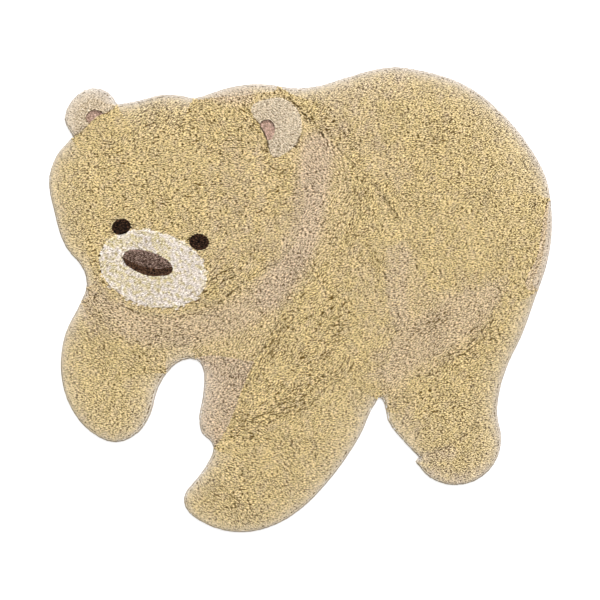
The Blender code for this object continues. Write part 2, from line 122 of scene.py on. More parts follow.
def nodeIn(tree, kind, settings=(), **sockets):  # a node with its settings, and its sockets linked or set
    node = tree.nodes.new(kind)
    for name, value in dict(settings).items():
        setattr(node, name, value)
    for name, value in sockets.items():
        socket = node.inputs[int(name[1:])] if name[0] == "i" and name[1:].isdigit() else node.inputs[name]
        if isinstance(value, bpy.types.Node):
            value = value.outputs[0]
        if isinstance(value, bpy.types.NodeSocket):
            tree.links.new(value, socket)
        else:
            socket.default_value = value
    return node


def mathsIn(tree, operation, *values):
    return nodeIn(tree, "ShaderNodeMath", {"operation": operation},
                  **{f"i{index}": value for index, value in enumerate(values)})


def mixIn(tree, share, first, second):
    return nodeIn(tree, "ShaderNodeMix", {"data_type": "RGBA"}, i0=share, i6=first, i7=second).outputs[2]


def attributeIn(tree, name):
    return nodeIn(tree, "ShaderNodeAttribute", {"attribute_name": name}).outputs["Fac"]


def addSocket(tree, name, kind, side="INPUT"):
    tree.interface.new_socket(name, in_out=side, socket_type="NodeSocket" + kind)


def slitsIn(tree, place, lay, rough):  # the slits at a place, from 0 to 1, and the noise of the short ones
    def slitNoise(size, dash):
        drawn = nodeIn(tree, "ShaderNodeVectorMath", {"operation": "MULTIPLY"}, i0=turned,
                       i1=(1 / dash, 1.0, 0.0))
        return nodeIn(tree, "ShaderNodeTexNoise", {"noise_dimensions": "2D"}, Vector=drawn,
                      Scale=size, Detail=1.0, Roughness=0.4)

    def slitOf(noise, fewest, more):
        under = mathsIn(tree, "SUBTRACT", mathsIn(tree, "MULTIPLY_ADD", rough, more, fewest), noise)
        return nodeIn(tree, "ShaderNodeMapRange", {"interpolation_type": "SMOOTHSTEP"},
                      Value=mathsIn(tree, "DIVIDE", under, slits["soft"]))

    turned = nodeIn(tree, "ShaderNodeVectorRotate", {"rotation_type": "Z_AXIS"}, Vector=place, Angle=lay)
    noise = slitNoise(slits["size"], slits["dash"])
    short = slitOf(noise, slits["fewest"], slits["more"])
    long = slitOf(slitNoise(slits["longSize"], slits["longDash"]), slits["longFewest"], slits["longMore"])
    return mathsIn(tree, "MAXIMUM", short, long), noise


def makeDyeAndShadeGroup():  # colour of a tuft from its root to its tip, with its painted shade and light
    group = bpy.data.node_groups.new("tuftDyeAndShade", "ShaderNodeTree")
    for name, kind in [(name, "Color") for name in dyes] + [(name, "Float") for name in tint]:
        addSocket(group, name, kind)
    addSocket(group, "Colour", "Color", "OUTPUT")
    given = group.nodes.new("NodeGroupInput").outputs
    second = attributeIn(group, "second")
    tip = mixIn(group, second, given["tip"], given["secondTip"])
    # The painted light at the rug's edge turns tip and root towards the edge colour
    edge = attributeIn(group, "edge")
    root = mixIn(group, second, given["root"], given["secondRoot"])
    root = mixIn(group, edge, root, given["edge"])
    place = nodeIn(group, "ShaderNodeTexCoord").outputs["Object"]
    slit, noise = slitsIn(group, place, attributeIn(group, "lay"), attributeIn(group, "rough"))
    # Whiter flecks where the slit noise is high: partly yarn, partly painted highlight
    picked = nodeIn(group, "ShaderNodeMapRange", Value=noise, i1=given["fleckAbove"], i2=given["fleckFull"])
    tip = mixIn(group, picked, tip, given["fleck"])
    tip = mixIn(group, edge, tip, given["edge"])
    # Low on a tuft its colour turns to the root's, which is painted shade down in the pile
    rise = nodeIn(group, "ShaderNodeMapRange", {"interpolation_type": "SMOOTHSTEP"},
                  Value=attributeIn(group, "rise"), i1=0.0, i2=given["rootReach"])
    cut = attributeIn(group, "cut")
    # The slits and the parting grooves are painted in the root's colour as shade
    deepest = mathsIn(group, "MAXIMUM", mathsIn(group, "MULTIPLY", slit, cut), attributeIn(group, "deep"))
    sunk = mathsIn(group, "MULTIPLY", deepest, given["slitStrength"])
    colour = mixIn(group, sunk, mixIn(group, rise, root, tip), root)
    # Painted light and shade play over the lay, following the slit noise
    sheen = mathsIn(group, "MULTIPLY", cut, given["sheenOfLay"])
    lit = mathsIn(group, "MULTIPLY_ADD", mathsIn(group, "SUBTRACT", noise, 0.5), sheen, 1.0)
    tone = mathsIn(group, "ADD", attributeIn(group, "tone"), lit)
    fibres = nodeIn(group, "ShaderNodeTexNoise", Vector=place, Scale=given["fibreSize"], Detail=1.0)
    uneven = mathsIn(group, "SUBTRACT", fibres, 0.5)
    streaked = mathsIn(group, "MULTIPLY_ADD", uneven, given["fibreStrength"], tone)
    toned = nodeIn(group, "ShaderNodeVectorMath", {"operation": "SCALE"}, i0=colour, Scale=streaked)
    nodeIn(group, "NodeGroupOutput", i0=toned)
    return group


def makeGrainGroup():  # the fine fibres of a yarn, or the crumb of a cloth, as a height
    group = bpy.data.node_groups.new("fibreGrain", "ShaderNodeTree")
    addSocket(group, "Size", "Float")
    addSocket(group, "Height", "Float", "OUTPUT")
    given = group.nodes.new("NodeGroupInput").outputs
    place = nodeIn(group, "ShaderNodeTexCoord").outputs["Object"]
    noise = nodeIn(group, "ShaderNodeTexNoise", Vector=place, Scale=given["Size"], Detail=2.0, Roughness=0.6)
    nodeIn(group, "NodeGroupOutput", i0=noise)
    return group


dyeAndShadeGroup = makeDyeAndShadeGroup()
grainGroup = makeGrainGroup()


def newMaterial(name, finish):  # a material with its nodes and its shader
    material = bpy.data.materials.new(name)
    material.use_nodes = True
    shader = material.node_tree.nodes["Principled BSDF"]
    for label, value in finish.items():
        shader.inputs[label].default_value = value
    return material, material.node_tree, shader


def makeYarn(name):
    look = yarns[name]
    material, tree, shader = newMaterial(name + "_pile", {
        "Roughness": 0.95, "Specular IOR Level": 0.15, "Sheen Weight": look["fuzz"], "Sheen Roughness": 0.6,
    })
    colours = {part: dye(*look[part]) for part in dyes}
    dyed = nodeIn(tree, "ShaderNodeGroup", {"node_tree": dyeAndShadeGroup}, **colours, **tint)
    grain = nodeIn(tree, "ShaderNodeGroup", {"node_tree": grainGroup}, Size=fibreBump["size"])
    bump = nodeIn(tree, "ShaderNodeBump", Strength=fibreBump["strength"], Distance=fibreBump["height"],
                  Height=grain)
    tree.links.new(dyed.outputs["Colour"], shader.inputs["Base Color"])
    tree.links.new(bump.outputs["Normal"], shader.inputs["Normal"])
    return material


yarnMaterials = {name: makeYarn(name) for name in yarns}
print("yarns dyed")

# Where rosy yarn is tufted in among the sand: half width in cm, share, and the middle line.
rosyStrokes = {
    "neck": (4.2, 1, ((3.9, 32.9), (2.6, 24.2), (1.1, 15.4), (-2.2, 7.8), (-7, 1.2))),
    "neck, front": (4.2, 0.7, ((-7, 1.2), (-14.2, -3.8), (-24.1, -6.5), (-32.8, -6.5), (-40.5, -3.8),
                               (-45.5, 0.5))),
    "neck, upper": (4.5, 0.45, ((9.8, 43.9), (8.3, 37.3), (4.8, 30.7))),
    "ear base": (2.2, 0.8, ((-12, 44.9), (-17.1, 44.9))),
    "head": (7, 0.3, ((-12, 29.6), (-13.6, 19.8), (-15.7, 10))),
    "elbow": (4, 0.35, ((-7, 13.2), (0, 18.7))),
    "loin": (4, 0.35, ((13.1, 41.7), (16.4, 32.9), (20.8, 28.5))),
    "rump top": (3, 0.4, ((21.9, 47.1), (13.1, 45.6))),
    "belly": (3.5, 0.25, ((11.4, 8.4), (15.7, 1.2), (18.6, -6.5))),
    "flank": (4.5, 0.65, ((37.2, 0.1), (30.6, -4.3), (23, -9.7), (19.7, -15.2))),
    "flank, lower": (3.8, 0.65, ((23, -12.6), (30.6, -8.6), (37.2, -3.8), (41.1, 1.2))),
    "flank, upper": (3, 0.7, ((21.9, 10), (20.8, 2.3), (21.9, -4.3))),
    "left foreleg": (3.5, 0.5, ((-46.4, 0.1), (-43.7, -4.7))),
    "shin": (3, 0.35, ((21.4, -21.8), (24.5, -28.3))),
    "hind paw": (1.6, 0.6, ((28.5, -34.6), (33, -33))),
    "hind sole": (2, 0.5, ((29.7, -37.5), (35.4, -39.7), (39.8, -37.1))),
}

# Where a painted highlight runs across the nose in lighter tufts, and where yellower yarn is tufted into the
# muzzle.
glintStrokes = {"nose": (0.8, 1, ((-37.4, 11.6), (-33.4, 10.4), (-29.8, 8.9)))}
yellowStrokes = {
    "brow": (1.3, 0.75, ((-43, 13.4), (-39.8, 12.6), (-35.6, 13.6))),
    "beside the nose": (1.5, 0.75, ((-31.3, 14), (-29.6, 10.2))),
    "under the nose": (2.2, 0.55, ((-41.6, 8), (-38, 4.2), (-33, 3.4), (-29, 5.2))),
}

# Lines along which the pile is combed apart: how many side by side, cm between them, and from 0 to 1 how
# strongly each is combed, sunk and painted with shade.
partings = {
    "flank": (9, 0.85, 0.2, ((21.4, -12.6), (27, -7.4), (33.4, -2.8))),
    "flank, middle": (3, 0.75, 0.95, ((24.8, -8.2), (28.8, -5.2), (32.8, -2.7))),
    "thigh, edge": (2, 0.9, 0.9, ((31.5, -12.8), (35.6, -11.3), (40, -7.5), (42, -3.6))),
    "thigh, top": (1, 0.9, 0.7, ((42.3, -1.5), (43.2, 1.4), (45.9, 4.9))),
    "thigh, fold": (1, 0.9, 0.8, ((25.6, -16.6), (29.4, -16.2), (31.6, -13.6))),
    "chin": (1, 1, 0.8, ((-45.2, 6), (-42.2, 3.4), (-39.8, 1.9), (-37.2, 0.1), (-33.9, -1.2), (-29.5, -1.6),
                         (-26.2, -1.4), (-23.6, -0.3), (-21.9, 0.5))),
    "under the chin": (3, 0.95, 0.85, ((-24.1, 0.1), (-20.6, 2.2), (-17.6, 4.8), (-14.4, 6.4))),
    "jaw": (1, 1, 0.8, ((-39.4, -1), (-35, -3), (-28.4, -3.8), (-24.1, -3.2), (-19.7, -1.4), (-16.4, 0.5),
                        (-13.1, 3.4), (-9.8, 5.8), (-6.6, 7.5), (-4.4, 8.4))),
    "chest": (6, 1.2, 0.4, ((-34, -9.5), (-24, -6), (-14, -0.6))),
    "left foreleg, upper": (5, 1.3, 0.45, ((-49, -4.5), (-41, -8.5), (-34, -13))),
    "near elbow": (3, 1.1, 0.8, ((-13, -27), (-8.3, -26.4), (-3.3, -23.5), (1.1, -22.6), (4.8, -18.4),
                                 (9.8, -15.2), (10.9, -12.4))),
    "near foreleg, front": (3, 1, 0.8, ((-2.6, -3.4), (-5.6, -8.2), (-8, -12.1), (-10.3, -16.8))),
    "shoulder": (2, 1.2, 0.5, ((10, 10.6), (12.4, 18), (12.6, 25))),
    "shoulder, upper": (1, 1, 1.7, ((-3.7, 45.8), (-0.4, 42.1), (2.8, 39), (4.8, 36.2), (6.2, 33.4))),
    "shoulder, lower": (1, 1, 0.4, ((6.2, 33.4), (9, 30.6), (10.6, 26), (10.4, 20.4))),
    "shoulder, back": (1, 1, 0.75, ((6.4, 34.6), (9.9, 31.6), (13.8, 27.9), (18.2, 22.6), (22.3, 17))),
    "forehead": (2, 1.5, 0.6, ((-32, 38.4), (-28.8, 39.6), (-25.4, 38.6))),
    "right ear, front": (1, 1, 1.1, ((-12.4, 42.8), (-10.9, 41.2), (-9.3, 39), (-8.1, 36.6), (-7.1, 34.6),
                                     (-6.5, 31.9))),
    "right ear, under": (1, 1, 1, ((-6, 31.2), (-3.4, 31.9), (-0.8, 34), (0.4, 36.4))),
    "left ear, foot": (1, 1, 1, ((-50.6, 35.4), (-48, 36.7), (-46.4, 38.3), (-44.3, 40.3), (-42.4, 41),
                                 (-40.4, 42.6))),
    "hind paw": (1, 1, 0.7, ((27.2, -34), (30.2, -32.9), (33.9, -30.9), (37.6, -27.9))),
}

# Which way the pile lies: half width in cm, and a line to lie along. Elsewhere it lies along the grain.
layStrokes = {
    "temple": (7, ((-44, 35.5), (-28, 41.5))),
    "crown": (5, ((-18, 43), (-8, 37), (4, 29))),
    "face": (8, ((-50, 25.5), (-30, 25), (-8, 26.5))),
    "cheek": (5, ((-18, 12), (-4, 16))),
    "jaw": (4.5, ((-22, 0.5), (-8, 8.5))),
    "neck": (6, ((3, 13), (14, 22))),
    "nape": (7, ((2, 0), (13, 8.5))),
    "chest": (7, ((-14, -11), (0, 1))),
    "chest, left": (4, ((-36, -7), (-20, -3.5))),
    "left foreleg": (7, ((-50, -4.5), (-33, -9.5))),
    "left paw": (7, ((-48, -19.5), (-34, -21.5))),
    "near foreleg": (6, ((-6, -22.5), (12, -15))),
    "near wrist": (4.5, ((-18, -28.5), (-4, -31.5))),
    "near paw": (6, ((-8, -37), (4, -41))),
    "near toes": (5, ((-22, -43), (-13, -52))),
    "flank": (9, ((18, -14), (44, -1))),
    "loin": (6, ((22, 8.5), (40, 9.5))),
}

# Patches that are crumblier than the rest: half width in cm, how much, and the middle line.
roughStrokes = {
    "near foreleg, top": (5.2, 0.5, ((13.6, 20.9), (8.7, 9.3), (0.5, 2.4), (-5.6, -6), (-9, -18))),
    "near elbow": (4, 0.9, ((-12.7, -28.3), (-4.4, -22.9), (2.6, -14.8), (7.7, -2.1))),
    "near paw": (3.6, 0.5, ((-15.7, -38), (-13.1, -44.4))),
    "shoulder": (3, 0.5, ((2.2, 41.2), (10.9, 32.9), (14, 24))),
    "temple": (5, 0.5, ((-44.6, 26), (-40.4, 30.6), (-36, 33))),
    "forehead": (5, 0.6, ((-33.4, 41.2), (-24, 38), (-15, 35))),
    "by the right ear": (4, 0.6, ((-11.9, 41.2), (-11.4, 35), (-7.4, 28.5), (-1, 26))),
    "cheek": (6, 0.45, ((-37, 24), (-24, 22), (-10, 21))),
    "under the eye": (4, 0.45, ((-19, 8), (-14, 5), (-9, 8))),
    "before the muzzle": (3, 0.5, ((-43, 16), (-43.6, 9))),
    "rump": (5, 0.5, ((24, 31), (28, 34), (33.2, 37.6))),
    "loin": (6, 0.35, ((22, 24), (34, 26))),
    "thigh": (4.4, 0.6, ((31.7, -11.8), (40.5, -8))),
    "flank": (4, 0.35, ((26, -8), (31.7, -3.8))),
    "hock": (5, 0.4, ((28.4, -21.8), (37.2, -20.7))),
}

# Every field has these, and its row below changes some. Lengths are in metres. Tufts stand gap apart across
# the grain and run along it. second is the share of the second yarn, parted how crumbly the pile is, and slits
# how far its slits sink and how strongly they are painted with shade. Tufts may cross a seam so far and fill so
# much of its crease, and the edge of a ragged field wanders so far over the next one.
ordinary = {
    "yarn": "sand_yarn", "second": 0.0, "gap": 0.0022, "run": 0.0038, "wide": 0.0034, "long": 0.0054,
    "tall": 0.006, "scatter": 0.11, "uneven": 0.0003, "grain": 14.0, "swing": 9.0, "parted": 1.0, "slits": 1.1,
    "tone": 0.03, "cross": 0.0034, "fill": 0.97, "ragged": 0.0,
}
blunt = {"gap": 0.003, "long": 0.005, "wide": 0.0038}
noseTufts = {**blunt, "second": 0.4, "parted": 0.2, "tone": 0.12, "cross": 0.001}
eyeTufts = {**blunt, "yarn": "black_yarn", "second": 0.3, "parted": 0.0, "tone": 0.2, "cross": 0.0016}
earTufts = {"yarn": "ivory_yarn", "parted": 0.4, "slits": 0.6, "cross": 0.0016, "fill": 0.6}
innerEarTufts = {
    "yarn": "pink_yarn", "second": 0.3, "gap": 0.0026, "run": 0.0032, "long": 0.004,
    "tall": 0.002, "uneven": 0.0001, "parted": 0.0, "tone": 0.04, "cross": 0.0008,
}
fieldStyles = {
    "pile_head": {},
    "pile_body": {},
    "pile_left_foreleg": {},
    "pile_neck": {"yarn": "rose_yarn", "second": 0.2, "parted": 0.9, "slits": 1.25},
    "pile_far_foreleg": {"yarn": "rose_yarn", "second": 1.0, "parted": 0.8, "slits": 1.3},
    "pile_flank": {"yarn": "rose_yarn", "second": 0.3, "parted": 0.6, "slits": 1.2},
    "pile_tail": {"yarn": "rose_yarn", "second": 0.8, "parted": 0.3},
    "muzzle": {"yarn": "cream_yarn", "parted": 0.3, "tone": 0.045, "slits": 0.85, "ragged": 0.0032,
               "second": 0.1},
    "nose_bridge": {**noseTufts, "yarn": "umber_yarn"},
    "nose_underside": {**noseTufts, "yarn": "brown_yarn"},
    "eye_left": eyeTufts,
    "eye_right": eyeTufts,
    "ear_left": {**earTufts, "second": 0.7},
    "ear_right": {**earTufts, "second": 0.3},
    "inner_ear_left": innerEarTufts,
    "inner_ear_right": innerEarTufts,
}

# How the pile ends. Rows beside an edge: metres inside it, height as a share of the pile there, lean outwards
# in degrees, and painted shade. The rows at the rug's own edge lean out over it, and the one along a seam
# closes it.
ends = {
    "rugRows": ((0.0005, 0.55, 72.0, -0.11), (0.0024, 0.95, 50.0, 0.01), (0.0003, 0.36, 78.0, -0.12),
                (0.0001, 0.14, 82.0, -0.15)),
    "seamRow": ((0.0004, 1.0, 20.0, 0.0),),
    "rowStep": 0.003, "seamDensity": 1.25,
    "rugFrom": 0.0042, "seamFrom": 0.0018,  # how far inside an edge the ordinary tufts begin
    "spill": 0.004, "farthest": 0.012,  # how far tufts may pass the rug's edge, and where none are left
    "push": 0.0023, "pushReach": 0.0045,  # how far its rows are moved out, and where that ends
    "fillReach": 0.009,  # how far inside a seam the pile starts to close its crease
    "lit": (0.45, 0.8),  # the side from which the edge is lit
}
# Fields between which the pile runs on with no step
merged = ("pile_body", "pile_flank", "pile_neck", "pile_left_foreleg", "pile_tail", "pile_far_foreleg")
# The pile is painted lighter along the rug's edge, as painted light: strength, more on its lit side, and reach
# in metres.
paintedEdgeLight = ((0.6, 0.31, 0.0099), (0.26, 0.08, 0.031))
# What the tufts stand in: how far below the pile, how far inside its borders, and a low rise that paints it
# almost wholly in the roots' painted shade
bed = {
    "depth": 0.0048, "shareOfTuft": 0.75, "atLeast": 0.0012, "inset": 0.0035, "seamInset": 0.0002, "rise": 0.12,
}
crumple = {"amount": 0.0007, "size": 260.0}
# Slow waves over the rug: metres from one to the next, and a seed
waves = {
    "drift along": (0.11, 11), "drift across": (0.11, 12), "crumbly": (0.06, 21), "lay": (0.085, 23),
    "broken": (0.016, 29), "tone": (0.03, 31), "slow tone": (0.1, 32), "rosy": (0.045, 33),
    "fine rosy": (0.018, 35), "yellow": (0.015, 37), "ragged": (0.018, 41),
}


def ripple(points, span, seed, count=24, band=0.4):  # smooth noise as a sum of waves, mostly from -2 to 2
    random = np.random.default_rng(seed)
    heading = random.uniform(0, 2 * np.pi, count)
    pace = 2 * np.pi / span * random.uniform(1 - band, 1 + band, count)
    wave = np.column_stack([pace * np.cos(heading), pace * np.sin(heading)])
    inner = points @ wave.T + random.uniform(0, 2 * np.pi, count)
    return math.sqrt(2 / count) * np.cos(inner).sum(1)


def nearestOn(points, starts, finishes):
    # Distance from each point to the nearest of many straight stretches, the point there and which it is.
    far, place, which = (np.empty(len(points)), np.empty((len(points), 2)), np.empty(len(points), int))
    run = finishes - starts
    for first in range(0, len(points), 4000):
        part = slice(first, first + 4000)
        share = ((points[part, None] - starts) * run).sum(2) / np.maximum((run * run).sum(1), 1e-14)
        spots = starts + np.clip(share, 0, 1)[:, :, None] * run
        gaps = np.linalg.norm(points[part, None] - spots, axis=2)
        best = gaps.argmin(1)
        rows = np.arange(len(best))
        far[part], place[part], which[part] = gaps[rows, best], spots[rows, best], best
    return far, place, which


def softStep(value):
    value = np.clip(value, 0, 1)
    return value * value * (3 - 2 * value)


def strokeShare(points, strokes):  # how strong the strongest of the broad strokes is at each point
    strongest = np.zeros(len(points))
    for halfWidth, share, line in strokes.values():
        line = onRug(line)
        far = nearestOn(points, line[:-1], line[1:])[0]
        strongest = np.maximum(strongest, share * softStep(1.4 - far / (halfWidth * cm)))
    return strongest


def readField(node):
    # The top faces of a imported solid, its height from above, and the border that runs round them.
    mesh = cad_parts[node].data
    corners = np.empty(len(mesh.vertices) * 3, np.float32)
    mesh.vertices.foreach_get("co", corners)
    faces = np.empty(len(mesh.polygons) * 3, np.int32)
    mesh.polygons.foreach_get("vertices", faces)
    points, places = np.unique(corners.reshape(-1, 3).round(6), axis=0, return_inverse=True)
    faces = places.reshape(-1)[faces].reshape(-1, 3)
    first, second, third = points[faces].transpose(1, 0, 2)
    facing = np.cross(second - first, third - first)
    top = faces[facing[:, 2] > 0.2 * np.linalg.norm(facing, axis=1)]
    sides = np.concatenate([top[:, [0, 1]], top[:, [1, 2]], top[:, [2, 0]]])
    known = set(map(tuple, sides.tolist()))
    border = np.array([side for side in sides.tolist() if (side[1], side[0]) not in known])
    return {
        "node": node, "points": points.astype(float), "faces": faces, "top": top, "border": border,
        "starts": points[border[:, 0], :2].astype(float), "finishes": points[border[:, 1], :2].astype(float),
        "above": BVHTree.FromPolygons(points.tolist(), top.tolist()),
    }


def styleOf(node):
    return {**ordinary, **fieldStyles[node]}


def pieceOf(node):  # the name of the pile on a solid, such as left_ear_pile on ear_left
    words = node.removeprefix("pile_").split("_")
    if words[-1] in ("left", "right"):
        words.insert(0, words.pop())
    return "_".join([*words, "pile"])


def toBorders(spots, *nodes):  # distance from each spot to the nearest border of some fields
    starts, finishes = (np.vstack([fields[node][end] for node in nodes]) for end in ("starts", "finishes"))
    return nearestOn(spots, starts, finishes)[0]


# A border farther than apart from every other field is the rug's edge, and one closer than seam runs beside
# the other field. Ragged pile may cross it by so many times its raggedness.
borders = {"apart": 0.004, "seam": 0.0015, "raggedCross": 2.2}
fields = {node: readField(node) for node in fieldStyles}
for node, field in fields.items():
    own = styleOf(node)
    middles = (field["starts"] + field["finishes"]) / 2
    gaps = {name: toBorders(middles, name) for name in fields if name != node}
    field["outer"] = np.min(list(gaps.values()), axis=0) > borders["apart"]
    field["cross"] = np.full(len(middles), max(own["cross"], borders["raggedCross"] * own["ragged"]))
    for name, gap in gaps.items():
        if not (own["ragged"] and name == "pile_head"):
            close = gap < borders["seam"]
            field["cross"][close] = np.minimum(field["cross"][close], styleOf(name)["cross"])
print("fields read:", len(fields))


def heights(field, spots):  # height of the solid's top at each spot, or nan where it has none
    found = [field["above"].ray_cast((x, y, 1.0), (0.0, 0.0, -1.0))[0] for x, y in spots]
    return np.array([np.nan if hit is None else hit.z for hit in found])


def inwards(field, which):  # direction from a stretch of border to the inside of its field
    run = field["finishes"][which] - field["starts"][which]
    return np.column_stack([-run[:, 1], run[:, 0]]) / np.maximum(np.linalg.norm(run, axis=1), 1e-9)[:, None]


def spread(field, style, random):  # spots in meandering rows over the whole field
    low, high = field["points"][:, :2].min(0), field["points"][:, :2].max(0)
    reach = np.linalg.norm(high - low) / 2 + 0.02
    turn = math.radians(style["grain"])
    rows = np.arange(-reach, reach, style["gap"])
    steps = np.arange(-reach, reach, style["run"])
    row, step = (index.ravel() for index in np.indices((len(rows), len(steps))))
    local = np.column_stack([steps[step] + (row % 2) * style["run"] / 2, rows[row]])
    local += random.normal(0, style["scatter"], local.shape) * (style["run"], style["gap"])
    spots = local @ np.array([(math.cos(turn), math.sin(turn)), (-math.sin(turn), math.cos(turn))])
    spots += (low + high) / 2
    drift = np.column_stack([ripple(spots, *waves["drift along"]), ripple(spots, *waves["drift across"])])
    return spots + sowing["drift"] * drift


def borderRows(field, outer, rows):  # spots in rows beside the border: place, height, lean, shade, way out
    found = []
    density = 1.0 if outer else ends["seamDensity"]
    for index in np.flatnonzero(field["outer"] == outer):
        start, finish = field["starts"][index], field["finishes"][index]
        inward = inwards(field, np.array([index]))[0]
        length = np.linalg.norm(finish - start)
        for order, (inset, share, lean, shade) in enumerate(rows):
            count = max(1, round(length / ends["rowStep"] * density))
            for along in (np.arange(count) + (0.25 if order % 2 else 0.75)) / count:
                place = start + (finish - start) * along + inward * inset
                found.append((*place, share, lean, shade, *-inward))
    return np.array(found).reshape(-1, 7)


def combedLines():  # every parting as straight stretches, with its depth
    starts, finishes, depths = [], [], []
    for count, apart, depth, line in partings.values():
        line = onRug(line)
        run = np.gradient(line, axis=0)
        beside = np.column_stack([-run[:, 1], run[:, 0]]) / np.linalg.norm(run, axis=1)[:, None]
        for index in range(count):
            moved = line + beside * (index - (count - 1) / 2) * apart * cm
            starts.append(moved[:-1])
            finishes.append(moved[1:])
            depths += [depth] * (len(moved) - 1)
    return np.vstack(starts), np.vstack(finishes), np.array(depths)


combed = combedLines()
# How far tufts are pushed off a parting, how far off they still follow it or count as beside it, how far the
# groove sinks and how wide it is, how much painted shade it gets, and how the parting wanders.
comb = {
    "clear": 0.0018, "reach": 0.01, "beside": 0.009, "drop": 0.0028, "wide": 0.0022, "above": 0.3, "dark": 1.5,
    "wiggle": 0.001, "wiggles": ((0.03, 27, 1.0), (0.011, 36, 0.5), (0.005, 38, 0.25)),
}


def layOf(spots, style):  # direction in which the pile lies at each spot, from its strokes and a slow swing
    turn = math.radians(style["grain"])
    sums = np.tile([math.cos(2 * turn), math.sin(2 * turn)], (len(spots), 1)) * 0.25
    for halfWidth, line in layStrokes.values():
        line = onRug(line)
        far, _, which = nearestOn(spots, line[:-1], line[1:])
        run = (line[1:] - line[:-1])[which]
        heading = 2 * np.arctan2(run[:, 1], run[:, 0])
        share = softStep(1.5 - far / (halfWidth * cm))
        sums += share[:, None] * np.column_stack([np.cos(heading), np.sin(heading)])
    return np.arctan2(sums[:, 1], sums[:, 0]) / 2 + math.radians(style["swing"]) * ripple(spots, *waves["lay"])


def partingAt(spots, wide):  # the nearest parting: how near it is from 0 to 1, the way off it, and which it is
    starts, finishes, depths = combed
    wiggle = sum(np.column_stack([ripple(spots, span, seed), ripple(spots, span, seed + 1)]) * share
                 for span, seed, share in comb["wiggles"])
    there = spots + comb["wiggle"] * wiggle
    far, place, which = nearestOn(there, starts, finishes)
    broken = softStep(0.75 + 0.7 * ripple(spots, *waves["broken"]))
    near = depths[which] * broken * np.clip(1 - far / wide, 0, 1)
    return near, (there - place) / np.maximum(far, 1e-6)[:, None], far, which


def combApart(spots, style):  # spots pushed off the partings, with grain, roughness and whether one is near
    starts, finishes, depths = combed
    near, away, far, which = partingAt(spots, comb["clear"])
    run = finishes[which] - starts[which]
    follow = np.minimum(depths[which], 1) * softStep(1 - far / comb["reach"])
    lay = layOf(spots, style)
    rough = sowing["rough"] + sowing["roughWave"] * ripple(spots, *waves["crumbly"])
    rough = np.clip(rough + strokeShare(spots, roughStrokes), 0, 1)
    difference = (np.arctan2(run[:, 1], run[:, 0]) - lay + np.pi / 2) % np.pi - np.pi / 2
    return (spots + away * (near * comb["clear"])[:, None], lay + follow * difference, rough * style["parted"],
            (far < comb["beside"]).astype(float))


def eulers(grain, leanX, leanY):
    # Turns that point a tuft's top along the lean and its long side along the grain.
    up = np.column_stack([leanX, leanY, np.ones(len(grain))])
    up /= np.linalg.norm(up, axis=1)[:, None]
    side = np.column_stack([np.cos(grain), np.sin(grain), np.zeros(len(grain))])
    side -= (side * up).sum(1)[:, None] * up
    side /= np.linalg.norm(side, axis=1)[:, None]
    over = np.cross(up, side)
    return np.column_stack([
        np.arctan2(over[:, 2], up[:, 2]),
        -np.arcsin(np.clip(side[:, 2], -1, 1)),
        np.arctan2(side[:, 1], side[:, 0]),
    ])


# How the tufts are planted: lengths in metres, and leans as slopes. Beside the rug's edge they lean out more
# and stand calmer, and their painted shade lessens upwards and towards the light. In crumbly pile they stand
# more unevenly and their slits are deeper.
sowing = {
    "drift": 0.001, "rough": 0.25, "roughWave": 0.06, "rowRough": 0.2, "edgeJitter": 0.0003,
    "seamJitter": 0.0004, "lean": 0.3, "leanOut": 0.5, "leanOutFrom": 0.0034, "leanOutReach": 0.02,
    "leanSpread": 0.16, "calm": 0.3, "calmReach": 0.03, "cut": 0.8, "cutCrumbly": 0.25, "unevenCrumbly": 0.6,
    "rootGap": 0.0002, "shortest": 0.0015, "sizeSpread": 0.12, "paleWider": 0.15, "shadeUp": 0.5,
    "shadeLit": 0.7, "pass": 0.3, "passGap": 0.0007, "eyeGap": 0.0045,
}
# How much each wave adds to a tuft's tone, how much the painted edge light takes, and how much crumbly pile
# adds
tones = {"tone": 0.012, "slow tone": 0.01, "edgeLight": 0.04, "rough": 0.08}
# The share of the second yarn in a yarn: in all, from each wave over the rug, and by chance
mixing = {
    "sand_yarn": {"all": 0.12, "rosy": 0.12, "fine rosy": 0.1},
    "cream_yarn": {"all": 0.12, "yellow": 0.42, "chance": 0.14, "edge": 0.15, "edgeReach": 0.006},
    "umber_yarn": {"all": 0.75},
    "chance": 0.1,
}


def passesAt(spots, far, amount):  # where the pile of a ragged field passes its border by as much as far
    return far < amount * (sowing["pass"] + ripple(spots, *waves["ragged"]))


